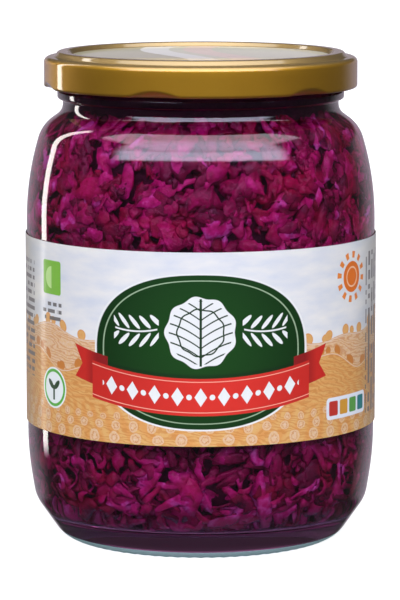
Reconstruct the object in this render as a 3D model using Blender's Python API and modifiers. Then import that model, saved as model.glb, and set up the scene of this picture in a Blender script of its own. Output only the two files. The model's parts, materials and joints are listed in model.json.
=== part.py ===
"""A shut glass jar of shredded red cabbage, standing upright.

The jar is a turned glass vessel with a thick base, a long soft shoulder and a narrow neck. A pressed
metal twist-off lid closes it, a paper label is wound round its straight wall, and shreds of red
cabbage fill it to just under the lid. Metres, +Z up; the origin is at the middle of the base, on the
surface that the jar stands on.
"""

import itertools
import math
import random

import bmesh
import bpy
from mathutils import Vector

MM = 0.001

# Driving dimensions
BODY_RADIUS = 48.0 * MM
NECK_RADIUS = 37.9 * MM
WALL = 2.6 * MM
TOTAL_HEIGHT = 134.4 * MM
LID_RADIUS = 43.1 * MM
LID_HEIGHT = 9.8 * MM
LABEL_LOW = 32.9 * MM
LABEL_HIGH = 84.7 * MM
FILL_HEIGHT = 125.0 * MM
CLEARANCE = 0.35 * MM

# Facets: steps of a full turn, and how far a chord may stand off its arc
TURN_STEPS = 48
LID_STEPS = 54
CORE_STEPS = 36
CHORD_ERROR = 0.1 * MM
INSIDE_CHORD_ERROR = 0.3 * MM
SHARP = math.radians(35)

# Glass
FOOT_RADIUS = 38.2 * MM
HEEL_RADIUS = 46.0 * MM
HEEL_HEIGHT = 11.3 * MM
SWELL_LOW = 23.9 * MM
SWELL_HIGH = 99.6 * MM
SHOULDER_RADIUS = 43.7 * MM
SHOULDER_HEIGHT = 114.1 * MM
NECK_LOW = 118.2 * MM
REST_RING_INSIDE = 30.5 * MM
PUSH_UP = 2.6 * MM
PUSH_UP_SLOPE = 3.0 * MM
FLOOR_HEIGHT = 8.8 * MM
FLOOR_RADIUS = 36.5 * MM
FLOOR_DOME = 0.8 * MM
BEAD_RADIUS = 39.4 * MM
BEAD_LOW = 121.7 * MM
BEAD_HEIGHT = 2.4 * MM
RIM_RADIUS = 38.4 * MM
RIM_HEIGHT = 132.2 * MM
RIM_EASE = 0.6 * MM

# Lid
TIN = 0.5 * MM
PANEL_DROP = 1.2 * MM
RING_RADIUS = 37.9 * MM
RING_WIDTH = 2.6 * MM
STEP_DROP = 1.4 * MM
CURL = 1.7 * MM
CURL_HEIGHT = 1.6 * MM
LUG_COUNT = 6
LUG_FIRST_ANGLE = math.radians(-17)
LUG_HALF_ANGLE = math.radians(10)
LUG_DEPTH = 1.3 * MM
LUG_LIFT = 0.5 * MM
LUG_REACH = 2.8 * MM

# Label
PAPER = 0.2 * MM
LABEL_LAP = 9.0 * MM

# Cabbage
CORE_DEPTH = 2.0 * MM
CORE_HEIGHTS = [height * MM for height in (122, 118, 113, 108, 100, 90, 30, 22, 16, 12)]
SHRED_SEED = 11
SHRED_SEGMENTS = 3
SHRED_LENGTH = (15 * MM, 24 * MM)
SHRED_WIDTH = (2.8 * MM, 5.6 * MM)
SHRED_TOP = (CLEARANCE, CLEARANCE + 0.9 * MM)
SHRED_SUNK = CORE_DEPTH + 0.5 * MM
SHRED_TILT = 0.8
SHRED_BEND = 1.7
SHRED_TAPER = 0.35
SHRED_COLUMNS = 16
# where the label leaves the glass bare: low, high, rows of shreds
SHRED_BANDS = (
    (11 * MM, 34 * MM, 3),
    (83 * MM, 116 * MM, 4),
)


def rounded_outline(corners, chord_error=CHORD_ERROR):
    """Points (r, z) along straight runs whose inner corners (r, z, fillet radius) are rounded.

    No chord of a rounded corner stands off its arc by more than chord_error.
    """
    points = [Vector(corners[0][:2])]
    for before, here, after in zip(corners, corners[1:], corners[2:]):
        corner = Vector(here[:2])
        back = (Vector(before[:2]) - corner).normalized()
        on = (Vector(after[:2]) - corner).normalized()
        fillet = here[2] if len(here) > 2 else 0.0
        half = back.angle(on) / 2
        if fillet <= 0.0:
            points.append(corner)
            continue
        middle = corner + (back + on).normalized() * fillet / math.sin(half)
        spoke = corner + back * fillet / math.tan(half) - middle
        turn = math.pi - 2 * half
        if back.x * on.y - back.y * on.x > 0:
            turn = -turn
        chord = 2 * math.acos(max(0.0, 1 - chord_error / fillet))
        steps = math.ceil(abs(turn) / chord)
        for step in range(steps + 1):
            angle = turn * step / steps
            cosine, sine = math.cos(angle), math.sin(angle)
            points.append(
                middle
                + Vector((spoke.x * cosine - spoke.y * sine, spoke.x * sine + spoke.y * cosine))
            )
    points.append(Vector(corners[-1][:2]))
    return points


def principled(name, colour, roughness, metallic=0.0, transmission=0.0):
    material = bpy.data.materials.new(name)
    material.use_nodes = True
    shader = material.node_tree.nodes["Principled BSDF"]
    shader.inputs["Base Color"].default_value = (*colour, 1.0)
    shader.inputs["Roughness"].default_value = roughness
    shader.inputs["Metallic"].default_value = metallic
    shader.inputs["Transmission Weight"].default_value = transmission
    return material


def into(collection, name, mesh, material):
    piece = bpy.data.objects.new(name, mesh)
    collection.objects.link(piece)
    mesh.materials.append(material)
    return piece


def turned(collection, name, outline, material, steps):
    """The solid that an outline makes when it turns round Z. It runs down its outer side."""
    mesh = bpy.data.meshes.new(name)
    vertices = [(point[0], 0.0, point[1]) for point in outline]
    mesh.from_pydata(vertices, [(i, i + 1) for i in range(len(vertices) - 1)], [])
    piece = into(collection, name, mesh, material)
    screw = piece.modifiers.new("turn", "SCREW")
    screw.axis = "Z"
    screw.steps = steps
    screw.render_steps = steps
    screw.use_merge_vertices = True
    screw.merge_threshold = 0.00001
    return piece


def made_mesh(piece):
    """The piece with its modifiers applied."""
    bpy.context.view_layer.update()
    graph = bpy.context.evaluated_depsgraph_get()
    mesh = bpy.data.meshes.new_from_object(piece.evaluated_get(graph))
    piece.modifiers.clear()
    piece.data = mesh
    return piece


def finish_smooth(piece):
    piece.data.shade_smooth()
    piece.data.set_sharp_from_angle(angle=SHARP)


def outer_wall():
    """The vessel's outside, from the rim down to the middle of the base."""
    corners = [
        (NECK_RADIUS - WALL + RIM_EASE, RIM_HEIGHT),
        (RIM_RADIUS, RIM_HEIGHT, 0.9 * MM),
        (RIM_RADIUS, BEAD_LOW + BEAD_HEIGHT),
        (BEAD_RADIUS, BEAD_LOW + BEAD_HEIGHT - 0.6 * MM),
        (BEAD_RADIUS, BEAD_LOW + 0.4 * MM),
        (BEAD_RADIUS - 0.4 * MM, BEAD_LOW),
        (NECK_RADIUS, BEAD_LOW - 0.6 * MM),
        (NECK_RADIUS, NECK_LOW, 2.6 * MM),
        (SHOULDER_RADIUS, SHOULDER_HEIGHT, 10.0 * MM),
        (BODY_RADIUS, SWELL_HIGH, 78.0 * MM),
        (BODY_RADIUS, SWELL_LOW, 80.0 * MM),
        (HEEL_RADIUS, HEEL_HEIGHT, 9.7 * MM),
        (FOOT_RADIUS, 0.0, 7.0 * MM),
        (REST_RING_INSIDE, 0.0),
        (REST_RING_INSIDE - PUSH_UP_SLOPE, 0.85 * PUSH_UP),
        (0.0, PUSH_UP),
    ]
    return rounded_outline(corners)


def inner_wall():
    """The vessel's inside, from the middle of its floor up to the rim."""
    bore = BODY_RADIUS - WALL
    mouth = NECK_RADIUS - WALL
    corners = [
        (0.0, FLOOR_HEIGHT + FLOOR_DOME),
        (FLOOR_RADIUS, FLOOR_HEIGHT, 8.0 * MM),
        (HEEL_RADIUS - 1.15 * WALL, HEEL_HEIGHT + 1.2 * WALL, 10.0 * MM),
        (bore, SWELL_LOW + 0.8 * WALL, 60.0 * MM),
        (bore, SWELL_HIGH - 0.4 * WALL, 75.0 * MM),
        (SHOULDER_RADIUS - WALL, SHOULDER_HEIGHT - 0.7 * WALL, 8.0 * MM),
        (mouth, NECK_LOW - 0.6 * WALL, 4.5 * MM),
        (mouth, RIM_HEIGHT - RIM_EASE),
    ]
    return rounded_outline(corners, INSIDE_CHORD_ERROR)


def jar_glass(collection):
    glass = principled("glass", (0.94, 0.97, 0.96), 0.03, transmission=1.0)
    jar = turned(collection, "jar_glass", inner_wall() + outer_wall(), glass, TURN_STEPS)
    finish_smooth(made_mesh(jar))
    return jar


def lid_outline():
    """The pressed tin in section: from the middle out and down the skirt, round the curl, and back inside."""
    top = TOTAL_HEIGHT
    panel = top - PANEL_DROP
    low = top - LID_HEIGHT
    ring_in = RING_RADIUS - RING_WIDTH / 2
    ring_out = RING_RADIUS + RING_WIDTH / 2
    shoulder = top - STEP_DROP
    outside = [
        (0.0, panel),
        (ring_in - 0.8 * MM, panel, 0.5 * MM),
        (ring_in, top, 0.6 * MM),
        (ring_out, top, 0.8 * MM),
        (ring_out + 1.0 * MM, shoulder, 0.8 * MM),
        (LID_RADIUS, shoulder, 1.5 * MM),
        (LID_RADIUS, low + LUG_REACH),
        (LID_RADIUS, low, 0.8 * MM),
        (LID_RADIUS - CURL, low, 0.8 * MM),
        (LID_RADIUS - CURL, low + CURL_HEIGHT),
        (LID_RADIUS - TIN, low + CURL_HEIGHT + 0.3 * MM),
    ]
    inside = [
        (LID_RADIUS - TIN, shoulder - 1.5 * TIN),
        (LID_RADIUS - 2 * TIN, shoulder - TIN),
        (ring_out + 0.6 * MM, shoulder - TIN),
        (ring_out - TIN, top - TIN),
        (ring_in + TIN, top - TIN),
        (ring_in - 0.4 * MM, panel - TIN),
        (0.0, panel - TIN),
    ]
    return rounded_outline(outside + inside)


def lug_press(angle):
    """How far a lug is pressed in at this angle round the lid, from 0 to 1."""
    spacing = 2 * math.pi / LUG_COUNT
    off = (angle - LUG_FIRST_ANGLE + spacing / 2) % spacing - spacing / 2
    share = min(1.0, abs(off) / LUG_HALF_ANGLE)
    return 0.5 + 0.5 * math.cos(math.pi * share)


def lid(collection):
    """The lid: turned, then its curl is pressed in and up at each lug."""
    gold = principled("gold_lacquer", (0.42, 0.25, 0.05), 0.28, metallic=1.0)
    cap = made_mesh(turned(collection, "lid", lid_outline(), gold, LID_STEPS))
    low = TOTAL_HEIGHT - LID_HEIGHT
    for vertex in cap.data.vertices:
        place = vertex.co
        reach = max(0.0, 1.0 - (place.z - low) / LUG_REACH)
        # the angle is counted from the jar's front, which faces -Y
        pressed = lug_press(math.atan2(place.x, -place.y)) * reach
        radius = math.hypot(place.x, place.y)
        if pressed > 0.0 and radius > LID_RADIUS / 2:
            shrink = (radius - LUG_DEPTH * pressed) / radius
            vertex.co = (place.x * shrink, place.y * shrink, place.z + LUG_LIFT * pressed)
    finish_smooth(cap)
    return cap


def label(collection):
    """The paper: a strip wound once round the straight wall, with its end lapped over its start."""
    paper = principled("paper", (0.72, 0.68, 0.6), 0.5)
    strip = bpy.data.curves.new("label", "CURVE")
    strip.dimensions = "2D"
    strip.fill_mode = "NONE"
    strip.extrude = (LABEL_HIGH - LABEL_LOW) / 2
    inside = BODY_RADIUS + CLEARANCE
    lap = LABEL_LAP / inside
    steps = TURN_STEPS + 3
    path = strip.splines.new("POLY")
    path.points.add(steps)
    for step, point in enumerate(path.points):
        # the strip starts at the back of the jar, which faces +Y, and climbs over its start at the end
        wound = (2 * math.pi + lap) * step / steps
        climb = min(1.0, max(0.0, wound - 2 * math.pi + 2 * lap) / lap)
        radius = (inside + climb * (PAPER + CLEARANCE)) / math.cos(math.pi / TURN_STEPS)
        angle = math.pi / 2 + wound
        point.co = (radius * math.cos(angle), radius * math.sin(angle), 0.0, 1.0)
    wrap = into(collection, "label", strip, paper)
    wrap.location.z = (LABEL_LOW + LABEL_HIGH) / 2
    thick = wrap.modifiers.new("paper", "SOLIDIFY")
    thick.thickness = PAPER
    thick.offset = 0.0
    return wrap


def wall_radius(outline, height):
    """The inside radius of the glass at a height."""
    for low, high in zip(outline, outline[1:]):
        if low.y <= height <= high.y and high.y > low.y:
            share = (height - low.y) / (high.y - low.y)
            return low.x + (high.x - low.x) * share
    return outline[-1].x


def shred(collection, inside, chance, low, high, height, angle):
    """One cut strip of leaf that lies along the glass between two heights, its ends dipped in the core."""
    length = chance.uniform(*SHRED_LENGTH)
    half_width = chance.uniform(*SHRED_WIDTH) / 2
    heading = chance.gauss(0.0, SHRED_TILT)
    bend = chance.uniform(-SHRED_BEND, SHRED_BEND)
    top = chance.uniform(*SHRED_TOP)

    flat = []
    for step in range(SHRED_SEGMENTS + 1):
        share = 2 * step / SHRED_SEGMENTS - 1
        along = share * length / 2
        chord = heading + bend * share / 4
        direction = heading + bend * share / 2
        half = half_width * (1 - SHRED_TAPER * share**2)
        # the ends of its top lie in the core, a little above its underside
        crest = top + 0.9 * (SHRED_SUNK - top) * share**4
        for across, depth in ((-half, SHRED_SUNK), (half, SHRED_SUNK), (half, crest), (-half, crest)):
            run = along * math.cos(chord) - across * math.sin(direction)
            rise = along * math.sin(chord) + across * math.cos(direction)
            flat.append((run, rise, depth))
    rises = [rise for _, rise, _ in flat]
    height = max(low - min(rises), min(high - max(rises), height))

    work = bmesh.new()
    corners = []
    for run, rise, depth in flat:
        spot = height + rise
        radius = min(wall_radius(inside, spot + off) for off in (-CORE_DEPTH, 0.0, CORE_DEPTH))
        turn = angle + run / radius
        reach = radius - depth
        corners.append(work.verts.new((reach * math.cos(turn), reach * math.sin(turn), spot)))
    rings = [corners[start : start + 4] for start in range(0, len(corners), 4)]
    for ring, after in zip(rings, rings[1:]):
        for i in range(4):
            j = (i + 1) % 4
            work.faces.new((ring[i], ring[j], after[j], after[i]))
    work.faces.new(rings[0][::-1])
    work.faces.new(rings[-1])
    bmesh.ops.recalc_face_normals(work, faces=work.faces)
    bmesh.ops.triangulate(work, faces=work.faces)
    mesh = bpy.data.meshes.new("shred")
    work.to_mesh(mesh)
    work.free()
    collection.objects.link(bpy.data.objects.new("shred", mesh))


def keep_largest_shell(piece):
    """Fills the hollows that fusing sealed, and drops loose scraps: only the outermost surface stays."""
    work = bmesh.new()
    work.from_mesh(piece.data)
    unseen = set(work.verts)
    shells = []
    while unseen:
        front = [unseen.pop()]
        shell = set(front)
        while front:
            for edge in front.pop().link_edges:
                for vertex in edge.verts:
                    if vertex in unseen:
                        unseen.remove(vertex)
                        shell.add(vertex)
                        front.append(vertex)
        shells.append(shell)
    largest = max(shells, key=len)
    bmesh.ops.delete(work, geom=[v for v in work.verts if v not in largest], context="VERTS")
    work.to_mesh(piece.data)
    work.free()


def core_outline(inside):
    """The heap's core in section: the glass's inside, a shred's depth in."""
    floor = FLOOR_HEIGHT + 2 * FLOOR_DOME
    points = [(0.0, FILL_HEIGHT), (NECK_RADIUS - WALL - 2 * CORE_DEPTH, FILL_HEIGHT)]
    for height in CORE_HEIGHTS:
        points.append((wall_radius(inside, height) - CORE_DEPTH, height))
    return points + [(FOOT_RADIUS - 2 * CORE_DEPTH, floor), (0.0, floor)]


def cabbage(collection):
    """The packed shreds: a plain core inside the glass, with the shreds that show fused on."""
    leaf = principled("red_cabbage", (0.16, 0.006, 0.06), 0.35)
    inside = inner_wall()
    heap = made_mesh(turned(collection, "cabbage", core_outline(inside), leaf, CORE_STEPS))
    loose = bpy.data.collections.new("shreds")
    bpy.context.scene.collection.children.link(loose)
    chance = random.Random(SHRED_SEED)
    for low, high, rows in SHRED_BANDS:
        for row, column in itertools.product(range(rows), range(SHRED_COLUMNS)):
            height = low + (high - low) * (row + chance.random()) / rows
            angle = 2 * math.pi * (column + row / 2 + chance.uniform(-0.3, 0.3)) / SHRED_COLUMNS
            shred(loose, inside, chance, low, high, height, angle)
    joined = heap.modifiers.new("shreds", "BOOLEAN")
    joined.operation = "UNION"
    joined.operand_type = "COLLECTION"
    joined.collection = loose
    joined.solver = "MANIFOLD"
    made_mesh(heap)
    keep_largest_shell(heap)
    for strip in list(loose.objects):
        bpy.data.objects.remove(strip)
    bpy.data.collections.remove(loose)
    return heap


def clear_scene():
    for old in list(bpy.data.objects):
        bpy.data.objects.remove(old)


def main():
    clear_scene()
    collection = bpy.data.collections.new("jar_of_red_cabbage")
    bpy.context.scene.collection.children.link(collection)
    jar_glass(collection)
    lid(collection)
    label(collection)
    cabbage(collection)


main()
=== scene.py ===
import json
import math
import random

import bmesh
import bpy
import numpy as np
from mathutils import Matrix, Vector

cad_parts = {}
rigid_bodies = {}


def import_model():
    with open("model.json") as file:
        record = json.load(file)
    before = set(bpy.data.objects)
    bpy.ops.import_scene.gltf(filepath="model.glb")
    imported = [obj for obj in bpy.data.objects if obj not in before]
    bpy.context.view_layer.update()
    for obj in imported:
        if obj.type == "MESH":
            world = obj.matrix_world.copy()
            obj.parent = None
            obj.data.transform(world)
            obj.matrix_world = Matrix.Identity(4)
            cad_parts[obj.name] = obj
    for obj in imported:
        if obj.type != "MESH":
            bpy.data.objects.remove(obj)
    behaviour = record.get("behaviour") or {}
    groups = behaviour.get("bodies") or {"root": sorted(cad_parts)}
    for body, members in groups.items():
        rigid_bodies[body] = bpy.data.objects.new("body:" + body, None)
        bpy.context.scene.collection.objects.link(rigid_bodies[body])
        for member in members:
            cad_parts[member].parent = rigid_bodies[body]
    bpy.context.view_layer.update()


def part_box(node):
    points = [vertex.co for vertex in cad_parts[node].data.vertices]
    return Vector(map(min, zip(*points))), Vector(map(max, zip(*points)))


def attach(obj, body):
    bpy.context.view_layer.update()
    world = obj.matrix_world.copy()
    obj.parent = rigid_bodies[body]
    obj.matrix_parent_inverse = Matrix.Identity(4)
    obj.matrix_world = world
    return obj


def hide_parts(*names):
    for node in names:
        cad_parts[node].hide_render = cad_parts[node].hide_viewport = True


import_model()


# The jar is pressed soda-lime glass with a faint green cast: a thick base on a flat ring, a heel, a wall
# that swells slightly, a soft shoulder, a neck, and a bead under the thread that the lid covers.
# It is turned from one outline that runs up the inside, over the rim and down the outside.

MM = 0.001
WALL = 2.6 * MM

glass_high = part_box("jar_glass")[1]
body_radius = glass_high.x
rim_height = glass_high.z
neck_radius = body_radius - 10.1 * MM
rim_radius = neck_radius + 0.5 * MM
bead_radius = neck_radius + 1.5 * MM
bead_low = rim_height - 10.5 * MM
neck_low = rim_height - 14.0 * MM
shoulder_radius = body_radius - 4.3 * MM
shoulder_height = rim_height - 18.1 * MM
swell_high = rim_height - 32.6 * MM
swell_low = 23.9 * MM
heel_radius = body_radius - 2.0 * MM
heel_height = 11.3 * MM
foot_radius = 38.2 * MM
rest_ring_inside = 30.5 * MM
push_up = 2.6 * MM
floor_radius = 36.5 * MM
floor_height = 8.8 * MM
floor_crown = floor_height + 0.8 * MM
fill_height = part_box("cabbage")[1].z + 0.5 * MM


def rounded_outline(corners, chord_error=0.012 * MM):
    """Points (r, z) along straight runs whose inner corners (r, z, fillet radius) are rounded."""
    points = [Vector(corners[0][:2])]
    for before, here, after in zip(corners, corners[1:], corners[2:]):
        corner = Vector(here[:2])
        if len(here) < 3:
            points.append(corner)
            continue
        back = (Vector(before[:2]) - corner).normalized()
        on = (Vector(after[:2]) - corner).normalized()
        fillet = here[2]
        half = back.angle(on) / 2
        middle = corner + (back + on).normalized() * fillet / math.sin(half)
        spoke = corner + back * fillet / math.tan(half) - middle
        turn = math.copysign(math.pi - 2 * half, on.x * back.y - on.y * back.x)
        steps = math.ceil(abs(turn) / (2 * math.acos(1 - chord_error / fillet)))
        for step in range(steps + 1):
            cosine, sine = math.cos(turn * step / steps), math.sin(turn * step / steps)
            round_spoke = (spoke.x * cosine - spoke.y * sine, spoke.x * sine + spoke.y * cosine)
            points.append(middle + Vector(round_spoke))
    points.append(Vector(corners[-1][:2]))
    return points


def turned(outline, steps):
    """The closed shell that an outline from axis to axis makes round Z."""
    work = bmesh.new()
    rings = []
    for radius, height in outline:
        if radius < 0.01 * MM:
            rings.append([work.verts.new((0.0, 0.0, height))] * steps)
            continue
        angles = [2 * math.pi * step / steps for step in range(steps)]
        rings.append([work.verts.new((radius * math.sin(a), -radius * math.cos(a), height)) for a in angles])
    for ring, after in zip(rings, rings[1:]):
        for i in range(steps):
            j = (i + 1) % steps
            work.faces.new(dict.fromkeys((ring[i], ring[j], after[j], after[i])))
    bmesh.ops.recalc_face_normals(work, faces=work.faces)
    for face in work.faces:
        face.smooth = True
    return work


def piece_of(work, name, sharp_degrees=180):
    """A finished object of a bmesh, shaded smooth up to the angle given."""
    mesh = bpy.data.meshes.new(name)
    work.to_mesh(mesh)
    work.free()
    mesh.set_sharp_from_angle(angle=math.radians(sharp_degrees))
    piece = bpy.data.objects.new(name, mesh)
    bpy.context.scene.collection.objects.link(piece)
    return piece


def reshape(piece, place):
    """Moves every point of a piece at once by a function of its coordinates."""
    points = np.empty(len(piece.data.vertices) * 3)
    piece.data.vertices.foreach_get("co", points)
    moved = np.stack(place(*points.reshape(-1, 3).T), axis=1)
    piece.data.vertices.foreach_set("co", moved.ravel())
    piece.data.update()


bore_wall = rounded_outline(
    [
        (0.0, floor_crown),
        (floor_radius, floor_height, 8.0 * MM),
        (heel_radius - 1.15 * WALL, heel_height + 1.2 * WALL, 10.0 * MM),
        (body_radius - WALL, swell_low + 0.8 * WALL, 60.0 * MM),
        (body_radius - WALL, swell_high - 0.4 * WALL, 75.0 * MM),
        (shoulder_radius - WALL, shoulder_height - 0.7 * WALL, 8.0 * MM),
        (neck_radius - WALL, neck_low - 0.6 * WALL, 4.5 * MM),
        (neck_radius - WALL, fill_height),
        (neck_radius - WALL, rim_height - 0.6 * MM),
    ]
)
outer_wall = rounded_outline(
    [
        (neck_radius - WALL, rim_height - 0.6 * MM),
        (neck_radius - WALL, rim_height, 0.6 * MM),
        (rim_radius, rim_height, 0.9 * MM),
        (rim_radius, bead_low + 2.4 * MM, 0.3 * MM),
        (bead_radius, bead_low + 1.8 * MM, 0.7 * MM),
        (bead_radius, bead_low, 0.7 * MM),
        (neck_radius, bead_low - 0.6 * MM, 0.6 * MM),
        (neck_radius, neck_low, 3.8 * MM),
        (shoulder_radius, shoulder_height, 10.0 * MM),
        (body_radius, swell_high, 78.0 * MM),
        (body_radius, swell_low, 80.0 * MM),
        (heel_radius, heel_height, 9.7 * MM),
        (foot_radius, 0.0, 7.0 * MM),
        (rest_ring_inside, 0.0, 1.2 * MM),
        (rest_ring_inside - 3.0 * MM, 0.85 * push_up, 2.5 * MM),
        (0.0, push_up),
    ]
)
jar = piece_of(turned(bore_wall + outer_wall[1:], 360), "jar")


GROOVES = 72
GROOVE_DEPTH = 0.3 * MM
GROOVE_HALF_LENGTH = 3.2 * MM
GROOVE_REACH_UP = 2.0 * MM


def knurled(x, y, z):
    """Short grooves across the ring that the jar rests on, pressed by the mould as on any glass jar."""
    off_ring = (np.hypot(x, y) - (foot_radius + rest_ring_inside) / 2) / GROOVE_HALF_LENGTH
    groove = 0.5 - 0.5 * np.cos(GROOVES * np.arctan2(x, y))
    low = np.clip(1 - z / GROOVE_REACH_UP, 0, 1)
    return x, y, z + GROOVE_DEPTH * groove * low * np.clip(1 - off_ring**2, 0, 1)


reshape(jar, knurled)


class Wire:
    """A socket in a set of nodes. Arithmetic on it adds Math nodes."""

    def __init__(self, nodes, socket):
        self.nodes = nodes
        self.socket = socket

    def maths(self, operation, *values):
        return self.nodes.node("ShaderNodeMath", {"operation": operation}, dict(enumerate(values)))

    def __add__(self, other):
        return self.maths("ADD", self, other)

    def __sub__(self, other):
        return self.maths("SUBTRACT", self, other)

    def __mul__(self, other):
        return self.maths("MULTIPLY", self, other)

    def __truediv__(self, other):
        return self.maths("DIVIDE", self, other)

    def __pow__(self, other):
        return self.maths("POWER", self, other)

    def __mod__(self, other):
        return self.maths("FLOORED_MODULO", self, other)

    def __rsub__(self, other):
        return self.maths("SUBTRACT", other, self)

    def __neg__(self):
        return self.maths("MULTIPLY", self, -1.0)

    def __abs__(self):
        return self.maths("ABSOLUTE", self)

    __radd__ = __add__
    __rmul__ = __mul__


class Nodes:
    """A tree of shader nodes, and the ways to add to it."""

    def __init__(self, tree):
        self.tree = tree

    def join(self, socket, value):
        if isinstance(value, Wire):
            self.tree.links.new(value.socket, socket)
        elif isinstance(value, tuple) and socket.type == "RGBA":
            socket.default_value = (*value, 1.0)[:4]
        else:
            socket.default_value = value

    def node(self, kind, settings=None, values=None, output=0):
        """Any node: its type, its settings, then the values or wires of its sockets."""
        node = self.tree.nodes.new(kind)
        for name, value in (settings or {}).items():
            if name == "stops":
                ramp = node.color_ramp.elements
                while len(ramp) < len(value):
                    ramp.new(0.5)
                for element, (place, colour) in zip(ramp, value):
                    element.position = place
                    element.color = (*colour, 1.0)
            else:
                setattr(node, name, value)
        for key, value in (values or {}).items():
            self.join(node.inputs[key], value)
        return Wire(self, node.outputs[output])

    def mix(self, share, first, second):
        """Colours mixed by a share from 0 to 1."""
        values = {0: share, 6: first, 7: second}
        return self.node("ShaderNodeMix", {"data_type": "RGBA"}, values, output=2)

    def soft_step(self, value, low, high):
        """Rises smoothly from 0 at low to 1 at high."""
        values = {"Value": value, "From Min": low, "From Max": high}
        return self.node("ShaderNodeMapRange", {"interpolation_type": "SMOOTHSTEP"}, values)

    def axes(self, vector):
        """The three coordinates of a vector."""
        first = self.node("ShaderNodeSeparateXYZ", {}, {0: vector})
        return [Wire(self, output) for output in first.socket.node.outputs]


class Finish(Nodes):
    """A material of one Principled shader, and the nodes that lead to it."""

    def __init__(self, name, **constants):
        self.material = bpy.data.materials.new(name)
        self.material.use_nodes = True
        super().__init__(self.material.node_tree)
        self.shader = self.tree.nodes["Principled BSDF"]
        self.set(**constants)

    def set(self, **values):
        """Sets or links the shader's sockets, named with _ for a space."""
        for name, value in values.items():
            self.join(self.shader.inputs[name.replace("_", " ").title().replace("Ior", "IOR")], value)

    def bump(self, height, distance, strength=1.0):
        return self.node("ShaderNodeBump", {}, {"Height": height, "Distance": distance, "Strength": strength})

    def noise(self, place, scale, detail=2.0, roughness=0.5):
        values = {"Vector": place, "Scale": scale, "Detail": detail, "Roughness": roughness}
        return self.node("ShaderNodeTexNoise", {}, values)

    def place(self):
        return self.node("ShaderNodeTexCoord", output=3)

    def let_lamps_through(self, tint):
        """Shadow rays pass the surface and take its tint, because the shader itself would stop them."""
        shadow = self.node("ShaderNodeLightPath", output=1)
        clear = self.node("ShaderNodeBsdfTransparent", {}, {"Color": tint})
        both = self.node("ShaderNodeMixShader", {}, {0: shadow, 2: clear})
        self.tree.links.new(self.shader.outputs[0], both.socket.node.inputs[1])
        self.tree.links.new(both.socket, self.tree.nodes["Material Output"].inputs["Surface"])


GLASS_BEND = 1.5
JUICE_BEND = 1.33
GLASS_TINT = (0.93, 0.965, 0.95)
STIPPLE_TINT = (0.6, 0.95, 0.9)
GLASS_SHADOW = (0.9, 0.93, 0.92)
SKIN_WAVES = 0.03 * MM
STIPPLE_HEIGHT = 2.4 * MM

clear_glass = Finish("clear_glass", base_color=GLASS_TINT, roughness=0.0, ior=GLASS_BEND)
# the thin tin oxide coat of new jars makes the outside reflect more
clear_glass.set(specular_ior_level=0.9, specular_tint=(0.9, 0.86, 1.0))
clear_glass.set(coat_weight=0.42, coat_ior=1.7)
wetted_glass = Finish("wetted_glass", base_color=GLASS_TINT, roughness=0.0, ior=GLASS_BEND / JUICE_BEND)
# the ring that the jar rests on is stippled by the mould, so it scatters the light pale and greenish
stippled_glass = Finish("stippled_glass", base_color=STIPPLE_TINT, roughness=0.35, ior=GLASS_BEND)
for glass in (clear_glass, wetted_glass, stippled_glass):
    waves = glass.noise(glass.place(), 34.0, detail=1.0)
    glass.set(transmission_weight=1.0, normal=glass.bump(waves, SKIN_WAVES))
    glass.let_lamps_through(GLASS_SHADOW)
    jar.data.materials.append(glass.material)
stippled_glass.set(transmission_weight=0.35)
# inside, up to the juice's level, light passes from glass to juice and not to air
for face in jar.data.polygons:
    height = face.center.z
    faces_axis = face.normal.x * face.center.x + face.normal.y * face.center.y < -1e-6
    is_floor = face.normal.z > 0.5 and height < heel_height
    if (faces_axis or is_floor) and push_up + 1 * MM < height < fill_height:
        face.material_index = 1
    elif height < STIPPLE_HEIGHT and face.normal.z < 0 and face.center.xy.length > rest_ring_inside:
        face.material_index = 2
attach(jar, "root")
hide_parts("jar_glass")


# The juice that the cabbage is packed in, a thin dark magenta liquor, fills the jar to just above the
# lid's lower edge. Its skin reaches a little into the glass, so that no air shows between them. The
# wetted glass has bent the light already, so the skin only tints it.

REACH_INTO_WALL = 0.1 * MM


def inset(outline, depth):
    """The outline moved sideways towards its hollow by a depth: less than 0 is into the wall."""
    moved = []
    for number, point in enumerate(outline):
        before, after = outline[max(0, number - 1)], outline[min(len(outline) - 1, number + 1)]
        along = (after - before).normalized()
        moved.append(Vector((max(0.0, point.x - along.y * depth), point.y + along.x * depth)))
    moved[0].x = 0.0
    return moved


def filled_to(outline, level):
    """The closed outline of what stands in a hollow up to a level."""
    wetted = [point for point in outline if point.y < level - 0.01 * MM]
    return wetted + [Vector((wetted[-1].x, level)), Vector((0.0, level))]


JUICE_TINT = (0.9, 0.32, 0.72)

juice = piece_of(turned(filled_to(inset(bore_wall, -REACH_INTO_WALL), fill_height), 192), "juice", 60)
liquor = Finish("juice", base_color=JUICE_TINT, roughness=0.0, ior=1.0, transmission_weight=1.0)
liquor.let_lamps_through(JUICE_TINT)
juice.data.materials.append(liquor.material)
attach(juice, "root")


# The cabbage is cut in strips two to four millimetres wide, cooked soft and pressed into the jar.
# A core stands for the imported middle, coloured far darker than the strips as painted shade deep in the
# heap, and several layers of real strips and bits of leaf lie between it and the glass, flattened where they
# meet it. They are scattered flat, then wrapped round.

CORE_DEPTH = 3.6 * MM
LABEL_CORE_DEPTH = 1.5 * MM
label_low, label_high = (corner.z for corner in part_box("label"))
leaf_top = fill_height - 0.6 * MM


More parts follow.
